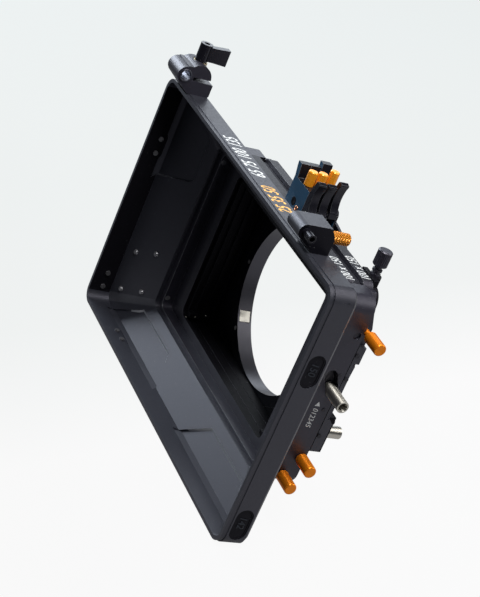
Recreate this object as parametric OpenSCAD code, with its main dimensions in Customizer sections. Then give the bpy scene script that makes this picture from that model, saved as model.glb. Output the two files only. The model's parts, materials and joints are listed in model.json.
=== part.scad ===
// Matte box with three filter stages, a flared hood and a lens ring.
// Millimetres. +Z is up, +Y runs from the hood to the lens, and the origin is the
// centre of the lens bore on the rear face of the lens ring.

/* [Lens ring] */
// Bore that slips over the front of the lens
lens_bore_d = 114; // [104:1:118]
// Wall of the lens ring
ring_wall = 7.5; // [6.5:0.25:9]
// Depth of the lens ring along the optical axis
ring_l = 10.7; // [9.5:0.1:14]
// Width that the ring's rear flange stands out past the ring
flange_w = 7; // [5:0.5:9]
// Number of screws through the ring
ring_screws_n = 8; // [4:1:12]
// Angle of the clamp shoe round the bore
shoe_angle = 217; // [205:1:226]

/* [Hood] */
// Width of the hood's front
hood_w = 282; // [262:1:310]
// Height of the hood's front
hood_h = 179.2; // [168:0.2:196]
// Depth of the straight band round the front
band_l = 16.4; // [15:0.2:20]
// Wall of the band
band_wall = 2.8; // [2.6:0.1:3.6]
// Depth of the thin front lip
lip_l = 3; // [2:0.25:4]
// Depth of the flare from the band to the rear flange
flare_l = 14.2; // [12:0.2:20]
// Thickness of the hood's rear flange
hood_flange_t = 3.4; // [2.5:0.1:5]
// Outer corner radius of the band
hood_r = 9; // [6:0.5:14]
// Depth of the panels sunk in the flare
panel_sink = 1.1; // [0.4:0.1:1.4]

/* [Body] */
// Width of the tray housing
body_w = 204; // [198:1:216]
// Height of the tray housing
body_h = 135.2; // [130:0.2:146]
// Outer corner radius of the body
body_r = 9; // [5:0.5:12]
// Wall of the throat frame at the sides
throat_side_wall = 10.5; // [8:0.5:15]
// Wall of the throat frame at the top and bottom
throat_top_wall = 6.6; // [5:0.2:10]
// Depth of the throat frame
throat_l = 7.9; // [6:0.1:12]
// Thickness of the housing's front plate
housing_front_t = 2.2; // [1.6:0.1:3]
// Depth of the set-back rear part of the housing's sides
side_step_l = 6.6; // [5:0.2:9]
// How far the rear part of the sides is set back
side_step = 4; // [2:0.5:6]
// Thickness of the rear bulkhead
bulkhead_t = 4.5; // [3.5:0.25:6]

/* [Filter trays] */
// Thickness of one tray
tray_t = 7.1; // [6.8:0.1:8]
// Running gap in front of and behind each tray
tray_gap = 0.3; // [0.2:0.05:0.5]
// Side rail of a tray, outside the filter
tray_rail = 10.45; // [9.45:0.25:11.7]
// Width of the filter
filter_w = 143.5; // [138:0.5:146]
// Height of the filter
filter_h = 101.6; // [98:0.1:102]
// Thickness of the filter seat in a tray
filter_seat = 4.2; // [3:0.1:4.6]
// Height of the first tray's top bar above the body
bar_rise_1 = 2.4; // [1:0.1:4]
// Height of the middle tray's top bar above the body
bar_rise_2 = -1.2; // [-3:0.1:1]
// Height of the third tray's top bar above the body
bar_rise_3 = 1.7; // [1:0.1:4]

/* [Tray catches] */
// Place of the catch pins along X
catch_x = -2; // [-8:0.5:8]
// Height of the catch block above the first tray's bar
catch_block_h = 18; // [14:0.5:22]
// Diameter of a catch pin's head
catch_pin_d = 6.2; // [5:0.1:6.4]
// Height of a catch pin's head
catch_pin_h = 10; // [7:0.5:12]
// Extra height of the third catch
catch_extra_3 = 3; // [0:0.5:4]

/* [Knobs and pins] */
// Diameter of the stage knobs
knob_d = 8; // [7:0.25:10]
// Length of a stage knob's grip
knob_l = 15.5; // [12:0.5:20]
// Diameter of a stage knob's stem
stem_d = 4; // [3:0.25:5]
// Outer diameter of the release pin
pin_d = 8; // [7:0.25:9]
// Bore of the release pin
pin_bore_d = 5.8; // [4:0.1:6]
// Length of the release pin outside the housing
pin_l = 16.5; // [12:0.5:22]
// Travel of the release pin along its slot
pin_travel = 12; // [8:0.5:12]
// Diameter of the lock thumbscrew's head
thumb_d = 9.4; // [8:0.2:11.4]
// Height of the lock thumbscrew's head
thumb_h = 10.5; // [8:0.5:14]

/* [Flag mounts] */
// Length of a side flag plate
plate_l = 22; // [18:0.5:24]
// Width of a side flag plate
plate_w = 11; // [8:0.5:11.5]
// Thickness of a side flag plate
plate_t = 1.4; // [1:0.1:1.6]
// Diameter of the left flag pin
flag_pin_d = 8.6; // [7:0.2:9]
// Diameter of the right flag rod
flag_rod_d = 5.6; // [4:0.2:7]
// Height of the flag rod's axis above the band
flag_axis_h = 12.2; // [11.5:0.1:14]
// Distance of the flag rod's axis in front of the hood
flag_axis_out = 4.8; // [3:0.1:6]
// Width of the left clamp along X
left_clamp_w = 19.5; // [17.5:0.5:26]
// Width of the right bracket along X
right_block_w = 16.5; // [13:0.5:20]

/* [Hidden] */
$fn = 48;
eps = 0.01;

// Fits
running = 0.05;
snug = 0.2;

// Throat, tied to the body by its walls
throat_w = body_w - 2 * throat_side_wall;
throat_h = body_h - 2 * throat_top_wall;

// Stations along Y, from the ring's rear face forwards
stages = 3;
stage_pitch = tray_t + tray_gap;
bulkhead_y = -ring_l;
pocket_y = bulkhead_y - stages * stage_pitch - tray_gap;
housing_y = pocket_y - housing_front_t;
throat_y = housing_y - throat_l;
hood_l = band_l + flare_l + hood_flange_t;
hood_y = throat_y - hood_l;
flare_y = hood_y + band_l;
flange_y = flare_y + flare_l;
function tray_y(k) = pocket_y + tray_gap + (k - 1) * stage_pitch;
function tray_mid(k) = tray_y(k) + tray_t / 2;

// Flare: half sizes where it starts and ends
flare_in_w = hood_w - 2 * band_wall;
flare_in_h = hood_h - 2 * band_wall;
flare_end_w = throat_w + 9;
flare_end_h = throat_h + 4.6;
flare_wall = 2.2;
bevel = 2;
panel_slope = 1.3;
inner_r = hood_r - 1.5;
end_r = 5;

// Body
body_top = body_h / 2;
body_side = body_w / 2;
rear_side = body_side - side_step;
step_y = bulkhead_y - side_step_l;
tray_w = filter_w + 2 * tray_rail;
pocket_w = tray_w + 0.6;
tray_foot = 2;
pocket_floor = -(filter_h / 2 + 7.2 + tray_foot);
front_window_w = filter_w + 6.5;
front_window_h = filter_h + 8.4;
ring_r = lens_bore_d / 2 + ring_wall;
bulkhead_w = pocket_w + 7;
bulkhead_top = max(body_top - 1.6, ring_r + 1.5);
bulkhead_r = 10;
ear_low = -43;
ear_high = -17;
corner_cut = [11.5, 18.5];
low_set = 6;
dimple_d = 5.2;
dimple_deep = 1.2;
dimple_z = 43.4;
ring_flange_t = 2;
ring_screw_r = lens_bore_d / 2 + 3.2;

// Trays
tray_r = 6;
ledge_h = 3;
ledge_w = 4;
window_w = filter_w - 2.5;
window_top = filter_h / 2 - 2.3;
function bar_rise(k) = [bar_rise_1, bar_rise_2, bar_rise_3][k - 1];
function bar_top(k) = body_top + bar_rise(k);

// Catches: the profile runs along X and Z, one tray deep
block_top = body_top + bar_rise_1 + catch_block_h;
function catch_z(k) = block_top + (k == 3 ? catch_extra_3 : 0);
block_left = catch_x - 13.2;
block_right = catch_x + 10.3;
lever_inner = block_right + tray_gap;
ear_right = lever_inner + 8;
ear_t = 1.3;
lever_gap = 0.15;
lever_t = tray_t - ear_t - lever_gap;
pivot_x = lever_inner + 4.2;
function pivot_z(k) = catch_z(k) - 12.5;
pivot_d = 3;
pivot_boss_r = 3.6;
lever_rise = 9.2;
lever_hollow_r = 19;
catch_stem_d = 3.6;
catch_stem_l = 6;

// Knobs on the +X side: height of each stage's knob
function knob_z(k) = [-59.5, -46, 46.5][k - 1];
function knob_y(k) = tray_mid(k) + [0.5, 1.1, -1.5][k - 1];
function knob_seat(k) = k == 3 ? rear_side : body_side;
knob_neck_3 = 7.6;
stem_tip_gap = 0.3;

// Release pin: its slot leans forwards as it rises
pin_y = -20.8;
pin_z = 3.3;
slot_tilt = 27;
slot_depth = 6;
slot_clear = 0.2;

// Rear pin
rear_pin_x = rear_side - 5;
rear_pin_z = -30.5;
rear_pin_out = 10.4;
rear_seat_d = 6;
rear_seat_l = bulkhead_t - 1;

// Guide rails
rail_t = 3.5;
rail_set = 0.9;
rail_low_z = [-40.5, -17];
rail_mid_z = [3.5, 22.5];
rail_top_z = [24.2, 36];

// Lock thumbscrew
thumb_x = 70.5;
lug_w = 17.5;
lug_l = 3.6;
lug_h = 12;
lug_top = bulkhead_top + 4;
thumb_y = bulkhead_y - 0.1 + max(thumb_d / 2, 4.7);
lug_boss_r = 4.5;
thumb_neck_d = 6.4;
thumb_neck_h = 6.8;
thumb_shaft_d = 4;
thumb_shaft_l = 9;

// Clamp shoe and screw
shoe_w = 7.8;
shoe_l = 8;
shoe_t = 3;
shoe_y = -ring_l / 2;
screw_y = -2.4;
clamp_screw_d = 3;
clamp_knob_d = 7;
clamp_knob_l = 11;
clamp_knob_r = ring_r + flange_w + 1.5;

// Side flag plates, sunk in the band and held by two screws from inside
plate_y = hood_y + 9.75;
plate_fit = 0.15;
plate_sunk = 0.5;
plate_upper_z = 37.2;
plate_lower_z = -72.1;
plate_bottom_x = -87.2;
plate_pitch = 11;
plate_screw_d = 2;
plate_head_d = 3.6;
plate_head_t = 0.9;

// Flag clamps on top of the band
band_top = hood_h / 2;
flag_y = hood_y - flag_axis_out;
flag_z = band_top + flag_axis_h;
clamp_inset = 31;
clamp_x = clamp_inset - hood_w / 2;
flag_pin_wall = 0.9;
clamp_mid_x = clamp_x - left_clamp_w / 2;
clamp_bolt_out = left_clamp_w / 2 - 3.2;
clamp_bolt_back = 12.6;
jaw_r = 9.4;
jaw_y = hood_y + 4.6;
jaw_z = band_top + 11.6;
slit_z = band_top + 9.4;
slit_t = 2.6;
lever_x = clamp_x - 11.5;
lever_y = hood_y + 7.4;
far = 40;
lever_hub_d = 8.6;
lever_hub_h = 12.4;
lever_reach = 16.5;
lever_z = jaw_z + jaw_r - 2.6;
lever_seat_d = 10.4;
clamp_bolt_in = 4;
block_bolt_in = 3;
bolt_head_d = 3.6;
bolt_head_t = 1.2;
lever_bolt_d = 4;
washer_t = 2.2;
block_inset = 58.8;
block_x = hood_w / 2 - block_inset;
block_h = 17.2;
block_back_y = hood_y + 15;
block_nose = block_h - flag_axis_h;
rod_out = 8.4;
rod_seat_d = flag_rod_d - 1;
flag_screw_x = block_x + right_block_w / 2;
flag_screw_z = band_top + 8.6;
flag_screw_d = 7.6;
flag_screw_l = 12.5;
block_bolt_out = 5;
block_bolt_back = 10.4;
mount_bolt_d = 2;

// Colours
black = [0.13, 0.14, 0.16];
soft_black = [0.20, 0.21, 0.24];
dark_grey = [0.30, 0.32, 0.35];
navy = [0.12, 0.19, 0.27];
orange = [0.93, 0.50, 0.09];
steel = [0.68, 0.67, 0.64];
brass = [0.62, 0.52, 0.34];

// Flat outline with round corners, centred
module rounded(w, h, r) {
    square([w - 2 * r, h], center = true);
    square([w, h - 2 * r], center = true);
    for (sx = [-1, 1], sz = [-1, 1])
        translate([sx * (w / 2 - r), sz * (h / 2 - r)]) circle(r);
}

// Slot with round ends along its second axis, centred
module stadium(w, l) {
    square([w, l - w], center = true);
    for (s = [-1, 1]) translate([0, s * (l - w) / 2]) circle(d = w);
}

// Stands a flat XZ outline up, from y0 rearwards
module along_y(y0, l) {
    translate([0, y0 + l, 0]) rotate([90, 0, 0]) linear_extrude(l) children();
}

// Round bar along Y
module bar_y(d, y0, l) {
    translate([0, y0, 0]) rotate([-90, 0, 0]) cylinder(d = d, h = l);
}

// Round bar along +X
module bar_x(d, x0, l) {
    translate([x0, 0, 0]) rotate([0, 90, 0]) cylinder(d = d, h = l);
}

// Thin frame outline for a hull along Y
module slice(w, h, r, y) {
    along_y(y, eps) rounded(w, h, r, $fn = 32);
}

// Places its children on one wall of the flare. Local X runs along the wall, local Y
// from front to rear down the flare, local Z into the hood.
module on_flare(side) {
    tall = side % 2 == 0;
    start = tall ? flare_in_h / 2 : flare_in_w / 2;
    stop = tall ? flare_end_h / 2 : flare_end_w / 2;
    rotate([0, side * 90, 0])
        translate([0, flare_y, -start])
            rotate([atan2(start - stop, flare_l), 0, 0]) children();
}
flare_run_h = norm([flare_l, (flare_in_h - flare_end_h) / 2]);
flare_run_w = norm([flare_l, (flare_in_w - flare_end_w) / 2]);

// Sunk panel with sloping walls: wide at the front, narrow at the rear
module panel(front, rear, run) {
    mid = [(front[0] + front[1]) / 2, run / 2];
    deep = panel_sink + 3;
    half = [(front[1] - front[0]) / 2, run / 2];
    grow = panel_slope * deep / panel_sink;
    translate([mid[0], mid[1], -panel_sink])
        linear_extrude(deep, slices = 1,
            scale = [(half[0] + grow) / half[0], (half[1] + grow) / half[1]])
            translate(-mid)
                polygon([[front[0], 0.8], [rear[0] - 3, run - 3], [rear[0], run], [rear[1], run],
                    [rear[1] + 3, run - 3], [front[1], 0.8]]);
}

// Half size of the flare's inner face part of the way down
function flare_half(start, stop, part) = (start + (stop - start) * part) / 2;

module flare_panels() {
    long_part = 0.67;
    side_part = 0.76;
    long_run = long_part * flare_run_h;
    side_run = side_part * flare_run_w;
    long_front = flare_in_w / 2 - 16;
    long_rear = flare_half(flare_in_w, flare_end_w, long_part) - 12;
    side_front = flare_in_h / 2 - 7.8;
    side_rear = flare_half(flare_in_h, flare_end_h, side_part) - 7;
    for (side = [0, 2])
        on_flare(side) for (s = [-1, 1])
            panel(s > 0 ? [25, long_front] : [-long_front, -25],
                s > 0 ? [44, long_rear] : [-long_rear, -44], long_run);
    for (side = [1, 3])
        on_flare(side) mirror([side == 1 ? 1 : 0, 0, 0])
            panel([17, side_front], [32, side_rear], side_run);
}

// Where each rivet sits on a side wall of the flare: along the wall, down the flare
rivets = [[-72.7, 0.22], [-62.9, 0.66], [-41.5, 0.23], [-31.7, 0.65]];
rivet_d = 4.2;
rivet_t = 1.3;
rivet_shank_d = 1.6;

module at_rivets(side) {
    on_flare(side)
        for (p = rivets)
            translate([side == 1 ? -p[0] : p[0], p[1] * flare_run_w, 0]) children();
}

// Turns what is drawn on the +X side of the band to its place
module on_band(side) {
    if (side == "right") translate([hood_w / 2, plate_y, 0]) children();
    if (side == "left") translate([-hood_w / 2, plate_y, 0]) mirror([1, 0, 0]) children();
    if (side == "bottom") translate([plate_bottom_x, plate_y, -hood_h / 2])
        rotate([0, 90, 0]) children();
}

module at_plate_screws() {
    for (s = [-1, 1]) translate([0, 0, s * plate_pitch / 2]) children();
}

module plate_pocket() {
    translate([-plate_sunk - plate_t, 0, 0]) rotate([90, 0, 90]) linear_extrude(plate_t + 2)
        stadium(plate_w + 2 * plate_fit, plate_l + 2 * plate_fit);
    at_plate_screws() bar_x(plate_screw_d + 2 * running, -band_wall - 1, band_wall + 1);
}

module flag_plate() {
    rim = 1.1;
    color(black) difference() {
        translate([-plate_sunk - plate_t, 0, 0]) rotate([90, 0, 90]) linear_extrude(plate_t)
            stadium(plate_w, plate_l);
        translate([-plate_sunk - 0.35, 0, 0]) rotate([90, 0, 90]) linear_extrude(1)
            stadium(plate_w - 2 * rim, plate_l - 2 * rim);
        at_plate_screws() bar_x(plate_screw_d + 2 * running, -band_wall, band_wall - plate_sunk - 0.7);
    }
}

module plate_screws() {
    at_plate_screws() {
        bar_x(plate_head_d, -band_wall - plate_head_t, plate_head_t);
        bar_x(plate_screw_d, -band_wall - eps, band_wall - plate_sunk - 0.8);
    }
}

// Every place on the band that has a plate
module at_plates() {
    for (side = ["right", "left"], z = [plate_upper_z, plate_lower_z])
        translate([0, 0, z]) on_band(side) children();
    on_band("bottom") children();
}

module flag_plate_right_upper() { translate([0, 0, plate_upper_z]) on_band("right") flag_plate(); }
module flag_plate_right_lower() { translate([0, 0, plate_lower_z]) on_band("right") flag_plate(); }
module flag_plate_left_upper() { translate([0, 0, plate_upper_z]) on_band("left") flag_plate(); }
module flag_plate_left_lower() { translate([0, 0, plate_lower_z]) on_band("left") flag_plate(); }
module flag_plate_bottom() { on_band("bottom") flag_plate(); }
module flag_plate_screws() { color(dark_grey) at_plates() plate_screws(); }

module hood_outer() {
    lip_in = 0.45;
    along_y(hood_y, lip_l) rounded(hood_w - 2 * lip_in, hood_h - 2 * lip_in, hood_r);
    along_y(hood_y + lip_l, band_l - lip_l) rounded(hood_w, hood_h, hood_r);
    hull() {
        slice(hood_w, hood_h, hood_r, flare_y - eps);
        slice(hood_w - 1.6 * bevel, hood_h - 1.6 * bevel, hood_r - 1, flare_y + bevel);
    }
    hull() {
        slice(hood_w - 1.6 * bevel, hood_h - 1.6 * bevel, hood_r - 1, flare_y + bevel);
        slice(flare_end_w + 2, flare_end_h + 2, end_r + 1, flange_y + flare_wall);
    }
    along_y(flange_y, hood_flange_t) rounded(body_w, body_h, body_r);
}

module hood_shell() {
    color(black) difference() {
        hood_outer();
        along_y(hood_y - 1, band_l + 1 + eps) rounded(flare_in_w, flare_in_h, inner_r);
        hull() {
            slice(flare_in_w, flare_in_h, inner_r, flare_y);
            slice(flare_end_w, flare_end_h, end_r, flange_y);
        }
        along_y(flange_y - eps, hood_flange_t + 1) rounded(flare_end_w, flare_end_h, end_r);
        flare_panels();
        at_plates() plate_pocket();
        for (side = [1, 3]) at_rivets(side)
            translate([0, 0, -6]) cylinder(d = rivet_shank_d, h = 7);
        at_left_clamp_screws() mount_bolt_hole(2);
        at_right_block_screws() mount_bolt_hole(2);
    }
}

// Hole for a bolt that comes up through the band's top wall
module mount_bolt_hole(past) {
    translate([0, 0, band_top - band_wall - 1])
        cylinder(d = mount_bolt_d + 2 * running, h = band_wall + 1 + past);
}

module hood_rivets() {
    color(dark_grey) for (side = [1, 3]) at_rivets(side) {
        rotate_extrude() polygon([[0, 0], [rivet_d / 2, 0], [rivet_d / 2, 0.35],
            [rivet_d / 2 - 0.8, rivet_t], [0, rivet_t]]);
        translate([0, 0, -1.6]) cylinder(d = rivet_shank_d - 2 * running, h = 1.6 + eps);
    }
}

throat_screw_y = throat_y + 2.5;
throat_screw_z = throat_h / 2 - 6.8;
throat_screw_d = 3.4;
throat_shank_d = 1.8;

module throat_frame() {
    color(black) difference() {
        along_y(throat_y, throat_l) rounded(body_w, body_h, body_r);
        along_y(throat_y - 1, throat_l + 2) rounded(throat_w, throat_h, end_r);
        at_throat_screws() {
            bar_x(throat_screw_d + 2 * running, -1, 2);
            bar_x(throat_shank_d + 2 * running, 0, 7);
        }
    }
}

module at_throat_screws() {
    for (sx = [-1, 1], sz = [-1, 1])
        translate([sx * throat_w / 2, throat_screw_y, sz * throat_screw_z])
            rotate([0, 0, sx > 0 ? 0 : 180]) children();
}

module throat_screws() {
    color(steel) at_throat_screws() {
        bar_x(throat_screw_d, 0.1, 0.9);
        bar_x(throat_shank_d, 1 - eps, 5);
    }
}

// Outline of the tray pocket, open at the top
module pocket_outline(w, low) {
    translate([-w / 2, low]) square([w, block_top - low]);
}

side_screw_z = [-10, 15.3];
side_screw_d = 2.4;

module at_side_screws() {
    for (s = [-1, 1], z = side_screw_z)
        translate([s * body_side, step_y - 3.4, z]) rotate([0, s * 90, 0]) children();
}

module release_slot(extra) {
    // the slot is a row of two bores joined by a straight cut, pin centre at its low end
    translate([0, pin_y, pin_z]) rotate([slot_tilt, 0, 0]) {
        for (z = [0, pin_travel]) translate([0, 0, z])
            bar_x(pin_d + 2 * extra, body_side - slot_depth, slot_depth + 1);
        translate([body_side - slot_depth, -pin_d / 2 - extra, 0])
            cube([slot_depth + 1, pin_d + 2 * extra, pin_travel]);
    }
}

// Outline of the housing's rear part: cut off at the top corners, set in low down
module rear_outline() {
    top = bulkhead_top;
    low = -body_h / 2 + 1;
    polygon([[-rear_side + low_set, low], [rear_side - low_set, low],
        [rear_side - low_set, ear_low - low_set / 2], [rear_side, ear_low],
        [rear_side, top - corner_cut[1]], [rear_side - corner_cut[0], top],
        [-rear_side + corner_cut[0], top], [-rear_side, top - corner_cut[1]],
        [-rear_side, ear_low], [-rear_side + low_set, ear_low - low_set / 2]]);
}

module tray_housing() {
    rear_l = bulkhead_y - step_y;
    color(soft_black) difference() {
        union() {
            along_y(housing_y, step_y - housing_y) rounded(body_w, body_h, body_r);
            along_y(step_y - eps, rear_l + eps) rear_outline();
        }
        along_y(housing_y - 1, housing_front_t + 2)
            rounded(front_window_w, front_window_h, end_r);
        along_y(pocket_y, bulkhead_y - pocket_y + 1) pocket_outline(pocket_w, pocket_floor);
        for (k = [1 : stages]) translate([0, knob_y(k), knob_z(k)])
            bar_x(stem_d + 2 * running, pocket_w / 2 - 1, body_side - pocket_w / 2 + 2);
        release_slot(slot_clear);
        translate([0, step_y - 4.4, dimple_z]) bar_x(dimple_d, body_side - dimple_deep, dimple_deep + 1);
        at_side_screws() translate([0, 0, -4]) cylinder(d = 1.4 + 2 * running, h = 5);
    }
}

module side_screws() {
    color(dark_grey) at_side_screws() {
        cylinder(d = side_screw_d, h = 0.4);
        translate([0, 0, -3.6]) cylinder(d = 1.4, h = 3.6 + eps);
    }
}

low_screw_x = 40;
low_screw_r = ring_r + flange_w + 3.3;
bulkhead_screw_xz = [[bulkhead_w / 2 - 3.6, 40], [rear_side - 4, ear_high - 5],
    [low_screw_x, -sqrt(low_screw_r * low_screw_r - low_screw_x * low_screw_x)]];
bulkhead_screw_d = 4.6;

module at_bulkhead_screws() {
    for (s = [-1, 1], p = bulkhead_screw_xz) translate([s * p[0], 0, p[1]]) children();
}

module rear_bulkhead() {
    color(black) difference() {
        union() {
            along_y(bulkhead_y, bulkhead_t) rounded(bulkhead_w, 2 * bulkhead_top, bulkhead_r);
            translate([-rear_side, bulkhead_y, ear_low])
                cube([2 * rear_side, bulkhead_t, ear_high - ear_low]);
            translate([thumb_x - lug_w / 2, bulkhead_y, lug_top - lug_h])
                cube([lug_w, lug_l, lug_h]);
            translate([thumb_x, thumb_y, lug_top - lug_h]) cylinder(r = lug_boss_r, h = lug_h);
        }
        bar_y(2 * ring_r + 2 * running, bulkhead_y - 1, bulkhead_t + 2);
        at_bulkhead_screws() bar_y(2.4 + 2 * running, bulkhead_y - 1, bulkhead_t + 2);
        translate([thumb_x, thumb_y, lug_top - thumb_shaft_l - 1])
            cylinder(d = thumb_shaft_d + 2 * running, h = thumb_shaft_l + 2);
        translate([rear_pin_x, 0, rear_pin_z]) bar_y(rear_seat_d + 2 * running, bulkhead_y + 1, bulkhead_t);
    }
}

module bulkhead_screws() {
    color(dark_grey) at_bulkhead_screws() {
        difference() {
            bar_y(bulkhead_screw_d, bulkhead_y + bulkhead_t, 1.8);
            translate([0, bulkhead_y + bulkhead_t + 1, 0]) rotate([-90, 0, 0])
                cylinder(d = 2.6, h = 1, $fn = 6);
        }
        bar_y(2.4, bulkhead_y + 0.2, bulkhead_t - 0.2 + eps);
    }
}

// Turns its children so that local +X points outwards at the shoe's angle
module at_shoe() {
    rotate([0, -shoe_angle, 0]) children();
}

module at_ring_screws() {
    for (i = [0 : ring_screws_n - 1]) rotate([0, i * 360 / ring_screws_n, 0])
        translate([ring_screw_r, 0, 0]) children();
}

module lens_ring() {
    color(dark_grey) difference() {
        union() {
            bar_y(2 * ring_r, -ring_l, ring_l);
            bar_y(2 * (ring_r + flange_w), bulkhead_y + bulkhead_t, ring_flange_t);
        }
        bar_y(lens_bore_d, -ring_l - 1, ring_l + 2);
        at_ring_screws() {
            bar_y(3 + 2 * running, -ring_l - 1, 2);
            bar_y(1.8 + 2 * running, -ring_l, 6);
        }
        at_shoe() {
            translate([lens_bore_d / 2 - 2, shoe_y - shoe_l / 2 - snug, -shoe_w / 2 - snug])
                cube([2 + shoe_t + 0.8, shoe_l + 2 * snug, shoe_w + 2 * snug]);
            translate([0, screw_y, 0])
                bar_x(clamp_screw_d + 2 * running, lens_bore_d / 2, ring_wall + 1);
        }
    }
}

module ring_screws() {
    color(steel) at_ring_screws() {
        bar_y(3, -ring_l + 0.1, 0.9);
        bar_y(1.8, -ring_l + 0.9, 5);
    }
}

module clamp_shoe() {
    color(steel) at_shoe() intersection() {
        translate([lens_bore_d / 2 - 1, shoe_y - shoe_l / 2, -shoe_w / 2])
            cube([shoe_t + 1.4, shoe_l, shoe_w]);
        difference() {
            bar_y(lens_bore_d + 2 * shoe_t + 0.6, -ring_l, ring_l);
            bar_y(lens_bore_d, -ring_l - 1, ring_l + 2);
        }
    }
}

module clamp_screw() {
    tip = lens_bore_d / 2 + shoe_t + 0.35;
    color(black) at_shoe() translate([0, screw_y, 0]) {
        bar_x(clamp_screw_d, tip, clamp_knob_r - tip + eps);
        translate([clamp_knob_r, 0, 0]) rotate([0, 90, 0]) knurled(clamp_knob_d, clamp_knob_l, 16, 0.25);
    }
}

// Knob with straight grooves round its grip and a broken edge at both ends
module knurled(d, l, teeth, cut) {
    difference() {
        rotate_extrude() polygon([[0, 0], [d / 2 - 0.4, 0], [d / 2, 0.5], [d / 2, l - 0.6],
            [d / 2 - 0.6, l], [0, l]]);
        for (i = [0 : teeth - 1]) rotate([0, 0, i * 360 / teeth])
            translate([d / 2, 0, 1]) cylinder(d = 2 * cut, h = l - 2, $fn = 4);
    }
}

// Filter tray: side rails, a top bar with the catch block, and a thin strap under the filter
module filter_tray(k) {
    y = tray_y(k);
    top = bar_top(k);
    rail_in = window_w / 2;
    block = catch_z(k);
    color(k == 2 ? black : soft_black) difference() {
        union() {
            along_y(y, tray_t) difference() {
                union() {
                    translate([0, (top + pocket_floor) / 2])
                        rounded(tray_w, top - pocket_floor, tray_r);
                }
                translate([-rail_in, pocket_floor + tray_foot])
                    square([2 * rail_in, window_top - pocket_floor - tray_foot]);
            }
            // corner ledges that the filter stands on
            for (s = [-1, 1])
                translate([s * (rail_in + 1 - ledge_w / 2) - ledge_w / 2, y, -filter_h / 2 - ledge_h])
                    cube([ledge_w, tray_t, ledge_h]);
            // catch block, post and rear ear
            along_y(y, tray_t) polygon([[block_left, top - eps], [block_right, top - eps],
                [block_right, block], [block_left + 4, block], [block_left + 2.2, block + 9],
                [block_left - 2.6, block + 9], [block_left - 2, block + 6], [block_left, block]]);
            along_y(y + tray_t - ear_t, ear_t) union() {
                translate([block_right - eps, top - eps])
                    square([ear_right - block_right, pivot_z(k) - top + 0.6]);
                translate([pivot_x, pivot_z(k)]) circle(pivot_boss_r);
            }
        }
        // filter seat, from the front
        translate([-filter_w / 2 - 0.4, y - 1, -filter_h / 2])
            cube([filter_w + 0.8, filter_seat + 1, filter_h + 0.4]);
        translate([catch_x, tray_mid(k), block - catch_stem_l - 1])
            cylinder(d = catch_stem_d + 2 * running, h = catch_stem_l + 2);
        translate([pivot_x, 0, pivot_z(k)]) bar_y(pivot_d, y + tray_t - ear_t - 1, ear_t + 2);
    }
}

module filter_tray_1() { filter_tray(1); }
module filter_tray_2() { filter_tray(2); }
module filter_tray_3() { filter_tray(3); }

// Thumb lever: straight on its inner side, hollow on its outer side, flared at the top
module lever_outline(k) {
    z = pivot_z(k);
    top = catch_z(k) + lever_rise;
    polygon([[lever_inner, z], [lever_inner, catch_z(k) + 0.4], [lever_inner + 3, top],
        [lever_inner + 4.4, top + 0.8], [lever_inner + 7.2, top], [lever_inner + 7.8, top - 2],
        [lever_inner + 8.4, z + 3], [lever_inner + 8.4, z - 2], [lever_inner + 6.6, z - 3.2]]);
}

module catch_lever(k) {
    y = tray_y(k);
    color(navy) difference() {
        union() {
            along_y(y, lever_t) lever_outline(k);
            translate([pivot_x, 0, pivot_z(k)]) bar_y(2 * pivot_boss_r, y, lever_t);
        }
        translate([lever_inner + 5.2 + lever_hollow_r, 0, catch_z(k) - 0.6])
            bar_y(2 * lever_hollow_r, y - 1, lever_t + 2);
        translate([pivot_x, 0, pivot_z(k)]) bar_y(pivot_d + 2 * running, y - 1, lever_t + 2);
    }
}

module catch_lever_1() { catch_lever(1); }
module catch_lever_2() { catch_lever(2); }
module catch_lever_3() { catch_lever(3); }

module catch_pin(k) {
    r = catch_pin_d / 2;
    color(orange) translate([catch_x, tray_mid(k), catch_z(k)]) {
        rotate_extrude() polygon([[0, 0], [r - 0.3, 0], [r, 0.3], [r, catch_pin_h - 0.5],
            [r - 0.5, catch_pin_h], [0, catch_pin_h]]);
        translate([0, 0, -catch_stem_l]) cylinder(d = catch_stem_d, h = catch_stem_l + eps);
    }
}

module catch_pin_1() { catch_pin(1); }
module catch_pin_2() { catch_pin(2); }
module catch_pin_3() { catch_pin(3); }

module lever_pivot(k) {
    color(steel) translate([pivot_x, 0, pivot_z(k)]) bar_y(pivot_d, tray_y(k) + 0.2, tray_t - 0.2);
}

module lever_pivot_1() { lever_pivot(1); }
module lever_pivot_2() { lever_pivot(2); }
module lever_pivot_3() { lever_pivot(3); }

// Stage knob: a plain round grip on a stem that reaches the tray's edge
module stage_knob(k) {
    seat = knob_seat(k);
    neck = k == 3 ? knob_neck_3 : 0.3;
    tip = pocket_w / 2 + stem_tip_gap;
    r = knob_d / 2;
    color(orange) translate([0, knob_y(k), knob_z(k)]) {
        bar_x(stem_d, tip, seat + neck - tip + eps);
        translate([seat + neck, 0, 0]) rotate([0, 90, 0])
            rotate_extrude() polygon([[0, 0], [r - 0.9, 0], [r, 0.9], [r, knob_l - 0.6],
                [r - 0.6, knob_l], [0, knob_l]]);
    }
}

module stage_knob_1() { stage_knob(1); }
module stage_knob_2() { stage_knob(2); }
module stage_knob_3() { stage_knob(3); }

module tube_x(d, bore, x0, l) {
    difference() {
        bar_x(d, x0, l);
        bar_x(bore, x0 - 1, l + 2);
    }
}

module release_pin() {
    start = body_side - slot_depth + 0.3;
    color(steel) translate([0, pin_y, pin_z])
        tube_x(pin_d, pin_bore_d, start, body_side + pin_l - start);
}

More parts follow.
